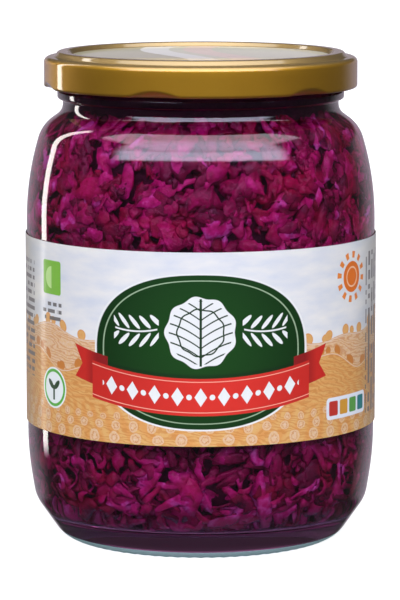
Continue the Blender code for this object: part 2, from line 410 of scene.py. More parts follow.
def strip_shape(chance, length, width, thickness, curl):
    """A cut strip: a ribbon that curls along its length, six points to a ring."""
    segments = 11
    swings = [
        (chance.uniform(0.5, 1.0) * curl, chance.uniform(2, 9), chance.uniform(0, 6.3)) for _ in range(2)
    ]
    ends = chance.uniform(0.35, 0.8)
    twist = chance.uniform(-0.9, 0.9)
    middles = [Vector((0.0, 0.0))]
    headings = []
    for step in range(segments + 1):
        share = step / segments
        headings.append(sum(size * math.sin(speed * share + start) for size, speed, start in swings))
        stride = Vector((math.cos(headings[-1]), math.sin(headings[-1]))) * length / segments
        middles.append(middles[-1] + stride)
    centre = sum(middles, Vector((0.0, 0.0))) / len(middles)
    work = bmesh.new()
    rings = []
    for step, heading in enumerate(headings):
        share = 2 * step / segments - 1
        half = width / 2 * (1 - (1 - ends) * share**6) * chance.uniform(0.82, 1.15)
        face_out = Vector((-math.sin(heading), math.cos(heading), 0.0))
        edge_out = Vector((0.0, 0.0, 1.0))
        turn = twist * share
        across = edge_out * math.cos(turn) + face_out * math.sin(turn)
        out = face_out * math.cos(turn) - edge_out * math.sin(turn)
        middle = Vector((*(middles[step] - centre), 0.15 * width * math.sin(4 * share + twist * 7)))
        ring = []
        for corner in range(6):
            angle = math.pi * corner / 3
            offset = across * half * math.cos(angle) + out * thickness / 1.7 * math.sin(angle)
            ring.append(work.verts.new(middle + offset))
        rings.append(ring)
    for ring, after in zip(rings, rings[1:]):
        for i in range(6):
            j = (i + 1) % 6
            work.faces.new((ring[i], ring[j], after[j], after[i]))
    work.faces.new(rings[0][::-1])
    work.faces.new(rings[-1])
    return work


def leaf_shape(chance, length, width, thickness, crumple):
    """A bit of leaf: a crumpled sheet with an uneven edge, often narrower at one end."""
    columns, rows = 7, 4
    taper = chance.uniform(-0.75, 0.75)
    lean = chance.uniform(-0.35, 0.35)
    waves = [
        tuple(chance.uniform(*span) for span in ((0.4, 1.0), (1.5, 4.5), (-3.5, 3.5), (0, 6.3)))
        for _ in range(3)
    ]
    work = bmesh.new()
    sheets = []
    edge = [[chance.uniform(0.8, 1.15) for _ in range(columns)] for _ in range(rows)]
    for side in (0.5, -0.5):
        sheet = []
        for j in range(rows):
            v = 2 * j / (rows - 1) - 1
            line = []
            for i in range(columns):
                u = 2 * i / (columns - 1) - 1
                reach = (1 + taper * u) * (1 - 0.35 * u * u) * edge[j][i]
                lift = sum(a * math.sin(k * u + m * v + p) for a, k, m, p in waves) * crumple / 2
                lift += crumple * 0.8 * (v * v - 0.4)
                place = (
                    length / 2 * (u * edge[(j + 1) % rows][i] + lean * v),
                    lift + side * thickness,
                    width / 2 * v * reach,
                )
                line.append(work.verts.new(place))
            sheet.append(line)
        sheets.append(sheet)
    for top in sheets:
        for line, after in zip(top, top[1:]):
            for i in range(columns - 1):
                work.faces.new((line[i], line[i + 1], after[i + 1], after[i]))
    rim = [(0, i) for i in range(columns)] + [(j, columns - 1) for j in range(1, rows)]
    rim += [(rows - 1, i) for i in range(columns - 2, -1, -1)] + [(j, 0) for j in range(rows - 2, 0, -1)]
    for (j, i), (n, m) in zip(rim, rim[1:] + rim[:1]):
        work.faces.new((sheets[0][j][i], sheets[0][n][m], sheets[1][n][m], sheets[1][j][i]))
    return work


def add_shapes(shapes, chance, count, make, lengths, widths, bends):
    """Adds different pieces to a collection, for the scatter to pick from."""
    for _ in range(count):
        thickness = chance.uniform(0.45, 0.85) * MM
        length, width = chance.uniform(*lengths), chance.uniform(*widths)
        cut = make(chance, length, width, thickness, chance.uniform(*bends))
        bmesh.ops.recalc_face_normals(cut, faces=cut.faces)
        for face in cut.faces:
            face.smooth = True
        mesh = bpy.data.meshes.new(f"{shapes.name}_{len(shapes.objects)}")
        cut.to_mesh(mesh)
        cut.free()
        shapes.objects.link(bpy.data.objects.new(mesh.name, mesh))


def scatter_tree():
    """Strips laid on a flat sheet in the XZ plane, at random depths along Y and at random turns."""
    tree = bpy.data.node_groups.new("shred_scatter", "GeometryNodeTree")
    tree.interface.new_socket("Sheet", in_out="INPUT", socket_type="NodeSocketGeometry")
    for name, kind in (
        ("Density", "NodeSocketFloat"),
        ("Seed", "NodeSocketInt"),
        ("Depth", "NodeSocketFloat"),
        ("Tumble", "NodeSocketVector"),
        ("Shapes", "NodeSocketCollection"),
        ("Finish", "NodeSocketMaterial"),
    ):
        tree.interface.new_socket(name, in_out="INPUT", socket_type=kind)
    tree.interface.new_socket("Shreds", in_out="OUTPUT", socket_type="NodeSocketGeometry")
    given = tree.nodes.new("NodeGroupInput").outputs

    def node(kind, settings, values):
        made = tree.nodes.new(kind)
        for name, value in settings.items():
            setattr(made, name, value)
        for key, value in values.items():
            if isinstance(value, bpy.types.NodeSocket):
                tree.links.new(value, made.inputs[key])
            else:
                made.inputs[key].default_value = value
        return made.outputs

    points = node(
        "GeometryNodeDistributePointsOnFaces",
        {"distribute_method": "RANDOM"},
        {"Mesh": given["Sheet"], "Density": given["Density"], "Seed": given["Seed"]},
    )
    deep = node("FunctionNodeRandomValue", {"data_type": "FLOAT"}, {2: 0.0, 3: given["Depth"], "Seed": 1})
    offset = node("ShaderNodeCombineXYZ", {}, {"Y": deep[1]})
    placed = node("GeometryNodeSetPosition", {}, {"Geometry": points["Points"], "Offset": offset[0]})
    back = node("ShaderNodeVectorMath", {"operation": "SCALE"}, {0: given["Tumble"], "Scale": -1.0})
    turns = node(
        "FunctionNodeRandomValue", {"data_type": "FLOAT_VECTOR"}, {0: back[0], 1: given["Tumble"], "Seed": 2}
    )
    shapes = node(
        "GeometryNodeCollectionInfo",
        {},
        {"Collection": given["Shapes"], "Separate Children": True, "Reset Children": True},
    )
    sizes = node("FunctionNodeRandomValue", {"data_type": "FLOAT"}, {2: 0.75, 3: 1.25, "Seed": 3})
    laid = node(
        "GeometryNodeInstanceOnPoints",
        {},
        {
            "Points": placed[0],
            "Instance": shapes[0],
            "Pick Instance": True,
            "Rotation": turns[0],
            "Scale": sizes[1],
        },
    )
    tone = node("FunctionNodeRandomValue", {"data_type": "FLOAT"}, {2: 0.0, 3: 1.0, "Seed": 4})
    toned = node(
        "GeometryNodeStoreNamedAttribute",
        {"data_type": "FLOAT", "domain": "INSTANCE"},
        {"Geometry": laid[0], "Name": "tone", "Value": tone[1]},
    )
    real = node("GeometryNodeRealizeInstances", {}, {0: toned[0]})
    finished = node("GeometryNodeSetMaterial", {}, {"Geometry": real[0], "Material": given["Finish"]})
    out = tree.nodes.new("NodeGroupOutput")
    tree.links.new(finished[0], out.inputs[0])
    return tree


scatter = scatter_tree()


def scattered(name, left, right, low, high, **inputs):
    """The pieces that the scatter lays on a flat sheet in XZ, as one plain mesh object."""
    mesh = bpy.data.meshes.new(name)
    corners = [(left, 0, low), (right, 0, low), (right, 0, high), (left, 0, high)]
    mesh.from_pydata(corners, [], [(0, 1, 2, 3)])
    piece = bpy.data.objects.new(name, mesh)
    bpy.context.scene.collection.objects.link(piece)
    modifier = piece.modifiers.new("scatter", "NODES")
    modifier.node_group = scatter
    identifiers = {item.name: item.identifier for item in scatter.interface.items_tree}
    for key, value in inputs.items():
        modifier[identifiers[key.title()]] = value
    bpy.context.view_layer.update()
    graph = bpy.context.evaluated_depsgraph_get()
    laid = bpy.data.meshes.new_from_object(piece.evaluated_get(graph))
    piece.modifiers.clear()
    piece.data = laid
    return piece


def pressed(depth):
    """A depth off the glass that stays above nought: what would pass the wall is pressed flat on it."""
    firmness = 1.0 / MM
    return 0.1 * MM + np.logaddexp(0.0, firmness * depth) / firmness


wall = np.array([point for point in bore_wall if point.y < leaf_top])
wall_inwards = (np.array(inset(bore_wall, 1.0 * MM))[: len(wall)] - wall) / MM
wall_lengths = np.append(0.0, np.cumsum(np.hypot(*np.diff(wall, axis=0).T)))


def length_at(height):
    """How far along the inner wall, from the middle of the floor, it reaches a height."""
    rising = wall[:, 0] > floor_radius - 1.5 * MM
    return float(np.interp(height, wall[rising, 1], wall_lengths[rising]))


def round_the_wall(run, depth, length):
    """Wraps what lies on a flat sheet round the inner wall, square to it at every height."""
    lines = (*wall.T, *wall_inwards.T)
    radius, height, inwards, upwards = (np.interp(length, wall_lengths, line) for line in lines)
    off = pressed(depth)
    radius = radius + off * inwards
    height = height + off * upwards
    angle = run / body_radius
    return radius * np.sin(angle), -radius * np.cos(angle), np.minimum(height, leaf_top)


def on_the_floor(x, depth, y):
    return x, y, floor_crown + pressed(depth)


def evenly(points, stride):
    """Points at even strides along a chain of points."""
    lengths = np.cumsum([0.0] + [(b - a).length for a, b in zip(points, points[1:])])
    stops = np.linspace(0.0, lengths[-1], int(lengths[-1] / stride))
    across = np.interp(stops, lengths, [p.x for p in points])
    upward = np.interp(stops, lengths, [p.y for p in points])
    return [Vector(place) for place in zip(across, upward)]


def packed_core():
    """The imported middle's outline: it comes close to the glass where the label hides it."""
    outline = []
    for near, deep in zip(inset(bore_wall, LABEL_CORE_DEPTH), inset(bore_wall, CORE_DEPTH)):
        behind = min((deep.y - label_low) / (12 * MM), (label_high - deep.y) / (12 * MM), 1.0)
        outline.append(deep.lerp(near, max(0.0, behind) ** 2))
    return evenly(filled_to(outline, leaf_top)[:-1], 1.0 * MM) + [Vector((0.0, leaf_top))]


core = piece_of(turned(packed_core(), 288), "cabbage_core", 60)


def lumps(x, y, z):
    """The core's skin as a tangle: crossed waves of several sizes, as deep as a strip is thick."""
    run = np.arctan2(x, -y) * body_radius / MM
    high = z / MM
    swell = np.sin(0.9 * run + 2.2 * np.sin(0.55 * high)) * np.sin(0.8 * high + 1.9 * np.sin(0.5 * run))
    swell = swell + 0.6 * np.sin(1.9 * run - 2.3 * high + 2 * np.sin(0.31 * high))
    share = 1 + 0.009 * swell * np.clip((np.hypot(x, y) - 25 * MM) / (10 * MM), 0, 1)
    return x * share, y * share, z


reshape(core, lumps)

leaf = Finish("red_cabbage", roughness=0.27, ior=1.4, specular_ior_level=0.6)
tone = leaf.node("ShaderNodeAttribute", {"attribute_name": "tone"}, output=2)
blotches = leaf.noise(leaf.place(), 240.0, detail=3.0, roughness=0.6)
veins = leaf.noise(leaf.place(), 900.0, detail=3.0, roughness=0.6)
depth_of_dye = tone * 0.6 + blotches * 1.1 - 0.36
dyed = leaf.node(
    "ShaderNodeValToRGB",
    {
        "stops": [
            (0.0, (0.02, 0.0003, 0.006)),
            (0.3, (0.09, 0.0004, 0.022)),
            (0.58, (0.22, 0.001, 0.062)),
            (0.78, (0.37, 0.012, 0.16)),
            (0.96, (0.5, 0.19, 0.46)),
        ]
    },
    {0: depth_of_dye},
)
crimson = leaf.soft_step(leaf.noise(leaf.place(), 95.0), 0.46, 0.64) * 0.4
leaf.set(base_color=leaf.mix(crimson, dyed, (0.3, 0.0005, 0.03)), normal=leaf.bump(veins, 0.5 * MM, 0.9))

# painted shade: the core is coloured near black, darker than any strip, to stand for the shade deep in the
# heap
core_painted_dark = Finish("packed_cabbage", roughness=0.6, specular_ior_level=0.2)
mottle = core_painted_dark.noise(core_painted_dark.place(), 330.0, detail=3.0, roughness=0.6)
core_painted_dark.set(base_color=core_painted_dark.mix(mottle, (0.008, 0.0005, 0.004), (0.06, 0.0005, 0.02)))
core_painted_dark.set(normal=core_painted_dark.bump(mottle, 0.8 * MM))
core.data.materials.append(core_painted_dark.material)

half_turn = math.pi * body_radius
shred_top = neck_low - 1.5 * MM
chance = random.Random(3)
mush = bpy.data.collections.new("mush")
add_shapes(mush, chance, 13, leaf_shape, (4 * MM, 9 * MM), (3 * MM, 6 * MM), (0.7 * MM, 1.7 * MM))
add_shapes(mush, chance, 6, strip_shape, (7 * MM, 14 * MM), (1.6 * MM, 3 * MM), (0.9, 1.9))
upper = scattered(
    "cabbage_upper_shreds",
    -half_turn,
    half_turn,
    length_at(label_high - 8 * MM),
    length_at(shred_top),
    density=125000.0,
    seed=21,
    depth=3.2 * MM,
    tumble=(0.75, math.pi, 0.5),
    shapes=mush,
    finish=leaf.material,
)
reshape(upper, round_the_wall)
cut_strips = bpy.data.collections.new("cut_strips")
add_shapes(cut_strips, chance, 5, leaf_shape, (7 * MM, 12 * MM), (4 * MM, 7 * MM), (0.7 * MM, 1.6 * MM))
add_shapes(cut_strips, chance, 14, strip_shape, (11 * MM, 24 * MM), (1.9 * MM, 3.8 * MM), (0.8, 1.8))
lower = scattered(
    "cabbage_lower_shreds",
    -half_turn,
    half_turn,
    length_at(floor_height) - 4 * MM,
    length_at(label_low + 7 * MM),
    density=92000.0,
    seed=22,
    depth=4.0 * MM,
    tumble=(0.8, math.pi, 0.4),
    shapes=cut_strips,
    finish=leaf.material,
)
reshape(lower, round_the_wall)
FLOOR_HALF = 25 * MM
bottom = scattered(
    "cabbage_floor_shreds",
    -FLOOR_HALF,
    FLOOR_HALF,
    -FLOOR_HALF,
    FLOOR_HALF,
    density=60000.0,
    seed=23,
    depth=3.0 * MM,
    tumble=(0.8, math.pi, 0.2),
    shapes=cut_strips,
    finish=leaf.material,
)
reshape(bottom, on_the_floor)
for cabbage_piece in (core, upper, lower, bottom):
    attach(cabbage_piece, "root")
    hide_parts("cabbage")


# The label is one strip of coated paper, wound round the wall and lapped at the back. Its print is a
# generic farm landscape under a pale sky, with an oval green plaque and a red ribbon across it.

PAPER = 0.12 * MM
GLUE = 0.05 * MM
LAP = 9.0 * MM
label_radius = 48.5 * MM
paper_radius = label_radius - 0.1 * MM
label_height = label_high - label_low


def wound_label(steps=240):
    """The strip with its print map: across it the run from its start, and up it the height."""
    work = bmesh.new()
    print_map = work.loops.layers.uv.new("print")
    turn = 2 * math.pi + LAP / label_radius
    rows = []
    for step in range(steps + 1):
        wound = turn * step / steps
        # the lapped end climbs over the start
        climb = min(1.0, max(0.0, wound - 2 * math.pi + 2 * LAP / label_radius) * label_radius / LAP)
        radius = paper_radius + climb * (PAPER + GLUE)
        angle = math.pi + wound
        row = []
        for reach, height in (
            (radius, label_low),
            (radius, label_high),
            (radius - PAPER, label_high),
            (radius - PAPER, label_low),
        ):
            row.append(work.verts.new((reach * math.sin(angle), -reach * math.cos(angle), height)))
        rows.append((wound / (2 * math.pi), row))
    for (run, row), (next_run, after) in zip(rows, rows[1:]):
        for i in range(4):
            j = (i + 1) % 4
            face = work.faces.new((row[i], row[j], after[j], after[i]))
            for loop in face.loops:
                share = run if loop.vert in row else next_run
                loop[print_map].uv = (share, (loop.vert.co.z - label_low) / label_height)
            face.smooth = True
    work.faces.new(rows[0][1][::-1])
    work.faces.new(rows[-1][1])
    bmesh.ops.recalc_face_normals(work, faces=work.faces)
    return work


label = piece_of(wound_label(), "label_paper", 40)

paper = Finish("printed_paper", roughness=0.45, specular_ior_level=0.4)
print_across, print_up, _ = paper.axes(paper.node("ShaderNodeUVMap", {"uv_map": "print"}))
# millimetres from the middle of the front, and from the label's lower edge
across = (print_across - 0.5) * (2 * math.pi * label_radius / MM)
up = print_up * (label_height / MM)

INK_EDGE = 0.12


def inked(distance):
    """1 where a distance in millimetres is below nought, with the soft edge of ink on paper."""
    return paper.node("ShaderNodeClamp", {}, {0: distance / -INK_EDGE + 0.5})


def larger(first, *others):
    for other in others:
        first = first.maths("MAXIMUM", first, other)
    return first


def smaller(first, *others):
    for other in others:
        first = first.maths("MINIMUM", first, other)
    return first


def sine(value):
    return value.maths("SINE", value)


def from_point(x, y):
    """Distance from a point of the label."""
    return ((across - x) ** 2 + (up - y) ** 2) ** 0.5


def from_box(x, y, half_width, half_height, rounding=0.0):
    """Distance outside a box with rounded corners."""
    wide = larger(abs(across - x) - (half_width - rounding), 0.0)
    tall = larger(abs(up - y) - (half_height - rounding), 0.0)
    return (wide**2 + tall**2) ** 0.5 - max(rounding, INK_EDGE)


def hill(level, waves):
    """How far above a hill's crest a point lies, in millimetres: negative under it."""
    crest = level
    for height, length, shift in waves:
        crest = sine(across * (2 * math.pi / length) + shift) * height + crest
    return up - crest


SKY = (0.62, 0.65, 0.68)
CLOUD = (0.8, 0.78, 0.71)
TAN = (0.68, 0.31, 0.08)
DEEP_TAN = (0.56, 0.2, 0.035)
PALE_TAN = (0.7, 0.4, 0.13)
PALE_PINK = (0.72, 0.54, 0.4)
RED = (0.54, 0.016, 0.009)
BRIGHT_RED = (0.66, 0.024, 0.013)
DEEP_RED = (0.25, 0.006, 0.006)
PLAQUE_GREEN = (0.005, 0.064, 0.003)
GREEN = (0.002, 0.032, 0.002)
DEEP_GREEN = (0.004, 0.02, 0.004)
SAGE = (0.3, 0.42, 0.25)
LIME = (0.19, 0.46, 0.04)
PALE_LIME = (0.55, 0.78, 0.3)
ORANGE = (0.72, 0.16, 0.012)
PALE_ORANGE = (0.85, 0.5, 0.3)
INK_WHITE = (0.77, 0.78, 0.73)
GREY = (0.13, 0.12, 0.11)
# the khaki of the painted shade at the label's sides
SHADE_KHAKI = (0.22, 0.21, 0.1)

sheet = paper.node("ShaderNodeCombineXYZ", {}, {0: across, 1: up})
stretched = paper.node("ShaderNodeCombineXYZ", {}, {0: across * 0.35, 1: up})
wisps = paper.noise(stretched, 0.22, detail=4.0)
engraving = paper.noise(sheet, 1.3, detail=4.0, roughness=0.75)
field = paper.mix(wisps * 2.6 - 0.8, SKY, CLOUD)
grain = engraving * 2.2 - 0.6


def from_rounds(baseline, spacing, shift, radius):
    """Distance from the nearest of a row of rounds that stand on a line."""
    step = (across + shift) % spacing - spacing / 2
    return (step**2 + (baseline - radius * 0.7) ** 2) ** 0.5 - radius


strokes = sine((up + wisps * 9.0) * 6.0 + across * 1.1) + 0.35
hatching = inked(strokes * 0.3 + (engraving - 0.5) * 0.8) * 0.55

far_hill = hill(28.0, [(1.5, 61.0, 0.6), (0.8, 23.0, 2.1)])
middle_hill = hill(21.0, [(2.4, 47.0, 3.6), (0.9, 19.0, 0.4)])
near_hill = hill(12.5, [(2.6, 71.0, 1.9), (0.8, 29.0, 4.4)])
trees = smaller(from_rounds(far_hill, 7.3, 2.0, 1.5), from_rounds(far_hill, 11.9, 5.0, 1.1))
field = paper.mix(inked(trees), field, TAN)
field = paper.mix(inked(trees + 0.3) * grain, field, PALE_TAN)
bare_earth = paper.mix(grain, PALE_PINK, PALE_TAN)
field = paper.mix(inked(far_hill), field, paper.mix(hatching, bare_earth, DEEP_TAN))
field = paper.mix(inked(abs(far_hill + 0.4) - 0.12), field, PALE_PINK)
bushes = smaller(from_rounds(middle_hill, 6.5, 0.5, 1.3), from_rounds(middle_hill, 9.1, 3.0, 1.0))
field = paper.mix(inked(bushes), field, DEEP_TAN)
furrows = sine(middle_hill * 3.4 + across * 0.25) * 0.35 + grain
field = paper.mix(inked(middle_hill), field, paper.mix(furrows, PALE_TAN, TAN))
field = paper.mix(inked(middle_hill) * hatching, field, DEEP_TAN)
field = paper.mix(inked(abs(middle_hill + 0.4) - 0.12), field, PALE_PINK)
fan = paper.node("ShaderNodeMath", {"operation": "ARCTAN2"}, {0: across % 76.0 - 38.0, 1: 31.0 - up})
rows_of_earth = sine(fan * 46.0) * 0.5 + grain
field = paper.mix(inked(near_hill), field, paper.mix(rows_of_earth, PALE_TAN, TAN))
field = paper.mix(inked(near_hill) * hatching, field, DEEP_TAN)
for baseline, spacing, radius in ((8.2, 4.3, 1.0), (5.4, 5.2, 1.3), (2.0, 6.3, 1.6)):
    rounds = from_rounds(up - baseline + wisps * 3.0, spacing, baseline, radius)
    field = paper.mix(inked(rounds), field, bare_earth)
    crinkles = rounds + radius * 0.45 + (engraving - 0.5) * 2.4
    leaf_lines = larger(abs(crinkles) - 0.12, rounds)
    field = paper.mix(inked(leaf_lines) * 0.8, field, DEEP_TAN)

# painted shade: the print's ground is darkened to khaki towards the sides, where the label turns away from
# the light, and on round the back
painted_side_shade = paper.soft_step(abs(across), 47.0, 67.0)
field = paper.mix(painted_side_shade * 0.42, field, SHADE_KHAKI)

SUN_X, SUN_Y = 48.5, 42.5
sun = from_point(SUN_X, SUN_Y)
ray_angle = paper.node("ShaderNodeMath", {"operation": "ARCTAN2"}, {0: across - SUN_X, 1: up - SUN_Y})
field = paper.mix(inked(sun - 4.2), field, ORANGE)
rays = larger(abs(sun - 6.0) - 0.9, 0.2 - sine(ray_angle * 12.0))
field = paper.mix(inked(rays), field, (0.75, 0.22, 0.03))
field = paper.mix(inked(abs(sun - 2.6) - 0.22), field, PALE_ORANGE)

PLAQUE_HALF_WIDTH, PLAQUE_HALF_HEIGHT = 29.5, 20.6
PLAQUE_Y = 25.2
# a power over 2 makes the oval fuller than an ellipse
FULLNESS = 2.3
plaque_x, plaque_y = across / PLAQUE_HALF_WIDTH, (up - PLAQUE_Y) / PLAQUE_HALF_HEIGHT
plaque = (abs(plaque_x) ** FULLNESS + abs(plaque_y) ** FULLNESS) ** (1 / FULLNESS)
plaque = (plaque - 1) * PLAQUE_HALF_HEIGHT
field = paper.mix(inked(plaque - 0.45), field, INK_WHITE)
shade_of_green = paper.mix(from_point(0.0, 28.0) / 27.0, PLAQUE_GREEN, GREEN)
field = paper.mix(inked(plaque), field, shade_of_green)
field = paper.mix(inked(abs(plaque + 1.5) - 0.14), field, SAGE)

HEAD_Y = 30.5
head = from_point(0.0, HEAD_Y)
head_angle = paper.node("ShaderNodeMath", {"operation": "ARCTAN2"}, {0: across, 1: up - HEAD_Y})
crinkle = sine(head_angle * 9.0) * 0.35
field = paper.mix(inked(head + crinkle - 9.4), field, INK_WHITE)
leaf_ribs = abs((up + abs(across) * -0.75 + abs(across) ** 2 * 0.03) % 2.5 - 1.25) - 0.2
ribs = larger(leaf_ribs, head - 8.5)
midrib = larger(abs(across) - 0.32, head - 9.0)
field = paper.mix(inked(smaller(ribs, midrib)), field, GREEN)
field = paper.mix(inked(abs(head + crinkle * 0.5 - 6.2) - 0.2), field, GREEN)

spray_x = abs(across) - 17.6
spray_y = abs(up - HEAD_Y - spray_x**2 * 0.02)
stem = larger(spray_y - 0.22, abs(spray_x) - 6.0)
leaflet_x = (spray_x - spray_y * 0.8) % 3.0 - 1.5
leaflets = ((leaflet_x * 1.5) ** 2 + ((spray_y - 2.4) * 0.62) ** 2) ** 0.5 - 1.1
leaflets = larger(leaflets, abs(spray_x) - 6.4)
field = paper.mix(inked(smaller(stem, leaflets)), field, INK_WHITE)

RIBBON_HALF = 5.0
ribbon_line = up - 13.2 - (across / 31.0) ** 2 * 3.6
shadow = larger(abs(ribbon_line - 1.0) - RIBBON_HALF, abs(across) - 28.6)
field = paper.mix(inked(shadow / 6.0) * inked(plaque) * 0.6, field, DEEP_GREEN)
tail_line = abs(ribbon_line - 3.0)
tail_notch = abs(across) - 37.5 + (RIBBON_HALF - tail_line) * 0.6
tails = larger(tail_line - RIBBON_HALF + 0.6, tail_notch, 26.0 - abs(across))
field = paper.mix(inked(tails), field, paper.mix(abs(across) / 4.0 - 7.4, DEEP_RED, RED))
ribbon = larger(abs(ribbon_line) - RIBBON_HALF, abs(across) - 31.0)
sheen = sine(across * 0.1 + 1.2) * 0.5 + 0.5
field = paper.mix(inked(ribbon), field, paper.mix(sheen, RED, BRIGHT_RED))
field = paper.mix(inked(larger(abs(abs(ribbon_line) - 4.1) - 0.12, ribbon)), field, (0.85, 0.35, 0.25))
lozenge_x = (across + 3.1) % 6.2 - 3.1
lozenges = abs(lozenge_x) * 1.5 + abs(ribbon_line) - 2.5
dots = ((across % 6.2 - 3.1) ** 2 + ribbon_line**2) ** 0.5 - 0.75
beads = larger(smaller(lozenges * 0.6, dots), abs(across) - 27.6)
field = paper.mix(inked(beads), field, INK_WHITE)


def small_print(x, y, half_width, half_height, pitch, stroke_length, upright=False):
    """Grey dashes of uneven lengths in rows, where small print would stand."""
    along, over = (up, across) if upright else (across, up)
    row = (over / pitch).maths("FLOOR", over / pitch)
    cell = (along / stroke_length).maths("FLOOR", along / stroke_length)
    spot = paper.node("ShaderNodeCombineXYZ", {}, {0: row, 1: cell})
    random_dash = paper.node("ShaderNodeTexWhiteNoise", {"noise_dimensions": "2D"}, {"Vector": spot})
    stroke = abs(over - (row + 0.5) * pitch) - 0.26 * pitch
    gap = (random_dash - 0.72) * 4.0
    return inked(larger(stroke, gap, from_box(x, y, half_width, half_height)))


field = paper.mix(small_print(64.0, 26.0, 6.5, 22.0, 3.1, 1.3, upright=True) * 0.95, field, GREY)
TILE_X, TILE_Y = -47.5, 42.4
field = paper.mix(inked(from_box(TILE_X, TILE_Y, 4.4, 4.6, 0.8)), field, LIME)
half_moon = larger(from_point(TILE_X, TILE_Y) - 3.0, across - TILE_X)
field = paper.mix(inked(half_moon) * 0.8, field, PALE_LIME)
field = paper.mix(small_print(TILE_X, 33.4, 4.6, 2.9, 1.9, 0.9) * 0.95, field, GREY)
field = paper.mix(small_print(-64.0, 30.0, 5.5, 16.0, 2.1, 1.2) * 0.95, field, GREY)

BADGE_X, BADGE_Y = -46.5, 12.5
badge = from_point(BADGE_X, BADGE_Y)
field = paper.mix(inked(badge - 5.6), field, (0.8, 0.84, 0.8))
field = paper.mix(inked(abs(badge - 4.7) - 0.4), field, (0.1, 0.42, 0.05))
beside = abs(across - BADGE_X) - 1.4
over = up - BADGE_Y - 0.9
leaf_pair = (((beside + over) * 0.38) ** 2 + ((over - beside) * 0.85) ** 2) ** 0.5 - 0.9
sprout = smaller(from_box(BADGE_X, BADGE_Y - 1.3, 0.3, 1.9), leaf_pair)
field = paper.mix(inked(sprout), field, (0.02, 0.06, 0.02))

STRIPE_X, STRIPE_Y = 47.0, 7.6
field = paper.mix(inked(from_box(STRIPE_X, STRIPE_Y, 9.6, 3.0, 1.2)), field, (0.74, 0.77, 0.8))
swatches = ((0.5, 0.03, 0.02), (0.62, 0.3, 0.03), (0.1, 0.33, 0.06), (0.02, 0.2, 0.2))
for number, ink in enumerate(swatches):
    swatch_x = STRIPE_X + 4.5 * (number - 1.5)
    field = paper.mix(inked(from_box(swatch_x, STRIPE_Y, 1.8, 2.0, 0.5)), field, ink)

# two panels of small print on each side of the lap
for x in (-104.0, 104.0, -130.0, 130.0):
    field = paper.mix(inked(from_box(x, 26.0, 11.0, 20.0, 1.5)), field, (0.78, 0.78, 0.75))
    field = paper.mix(small_print(x, 26.0, 9.5, 18.0, 2.3, 1.1) * 0.7, field, GREY)

fibres = paper.noise(sheet, 9.0, detail=3.0)
paper.set(base_color=field, normal=paper.bump(fibres, 0.02 * MM, 0.5))
paper.set(coat_weight=0.25, coat_roughness=0.12)
label.data.materials.append(paper.material)
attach(label, "root")
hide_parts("label")


# The lid is pressed from tinplate and lacquered gold: a printed panel lies inside a raised ring, the
# skirt drops to a rolled hem, and the hem is pressed in at six lugs that grip the glass.

lid_low, lid_high = (corner.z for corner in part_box("lid"))
lid_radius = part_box("lid")[1].y
TIN = 0.5 * MM
PANEL_DROP = 1.2 * MM
RING_WIDTH = 2.6 * MM
STEP_DROP = 1.4 * MM
CURL = 1.7 * MM
CURL_HEIGHT = 1.6 * MM
ring_radius = 37.9 * MM
PANEL_RADIUS = 35.6 * MM
LUG_COUNT = 6
LUG_FIRST_ANGLE = math.radians(-17)
LUG_HALF_ANGLE = math.radians(10)
LUG_DEPTH = 1.7 * MM
LUG_ARCH = 1.9 * MM


def lid_outline():
    """From the panel's middle out, down the skirt, round the hem and back inside."""
    panel = lid_high - PANEL_DROP
    shoulder = lid_high - STEP_DROP
    ring_in, ring_out = ring_radius - RING_WIDTH / 2, ring_radius + RING_WIDTH / 2
    skirt = [(lid_radius, lid_low + rise * MM) for rise in np.arange(5.2, 0.95, -0.3)]
    outside = [
        (0.0, panel),
        (ring_in - 0.8 * MM, panel, 0.5 * MM),
        (ring_in, lid_high, 0.6 * MM),
        (ring_out, lid_high, 0.8 * MM),
        (ring_out + 1.0 * MM, shoulder, 0.8 * MM),
        (lid_radius, shoulder, 1.5 * MM),
        *skirt,
        (lid_radius, lid_low, 0.8 * MM),
        (lid_radius - CURL, lid_low, 0.8 * MM),
        (lid_radius - CURL, lid_low + CURL_HEIGHT),
        (lid_radius - TIN, lid_low + CURL_HEIGHT + 0.3 * MM),
    ]
    inside = [
        (lid_radius - TIN, shoulder - TIN, 1.0 * MM),
        (ring_out + 0.6 * MM, shoulder - TIN),
        (ring_out - TIN, lid_high - TIN),
        (ring_in + TIN, lid_high - TIN),
        (ring_in - 0.4 * MM, panel - TIN),
        (0.0, panel - TIN),
    ]
    return rounded_outline(outside + inside, 0.006 * MM)


def press_lugs(x, y, z):
    """Presses the hem in at each lug: a slope under an arched crease, with the lower edge left level."""
    spacing = 2 * math.pi / LUG_COUNT
    angle = np.arctan2(x, -y) - LUG_FIRST_ANGLE
    off = np.abs((angle + spacing / 2) % spacing - spacing / 2) / LUG_HALF_ANGLE
    arch = LUG_ARCH * np.clip(1 - off**2, 0, 1)
    press = np.clip((arch - (z - lid_low)) / LUG_ARCH, 0, 1)
    radius = np.hypot(x, y)
    outer = np.clip((radius - lid_radius + 3 * MM) / MM, 0, 1)
    shrink = 1 - LUG_DEPTH * press * outer / np.maximum(radius, MM)
    return x * shrink, y * shrink, z


lid = piece_of(turned(lid_outline(), 360), "lid_cap", 50)
reshape(lid, press_lugs)

gold = Finish("gold_lacquer", coat_roughness=0.07, coat_ior=1.7)
lid_place = gold.place()
satin = gold.noise(lid_place, 900.0, detail=2.0)
drift = gold.noise(lid_place, 60.0, detail=2.0)
spot_x, spot_y, spot_z = gold.axes(lid_place)
from_axis = (spot_x**2 + spot_y**2) ** 0.5


LACQUER_EDGE = 0.15 * MM


def printed(distance):
    """1 where a distance in metres is below nought, with a soft edge."""
    return gold.node("ShaderNodeClamp", {}, {0: distance / -LACQUER_EDGE + 0.5})


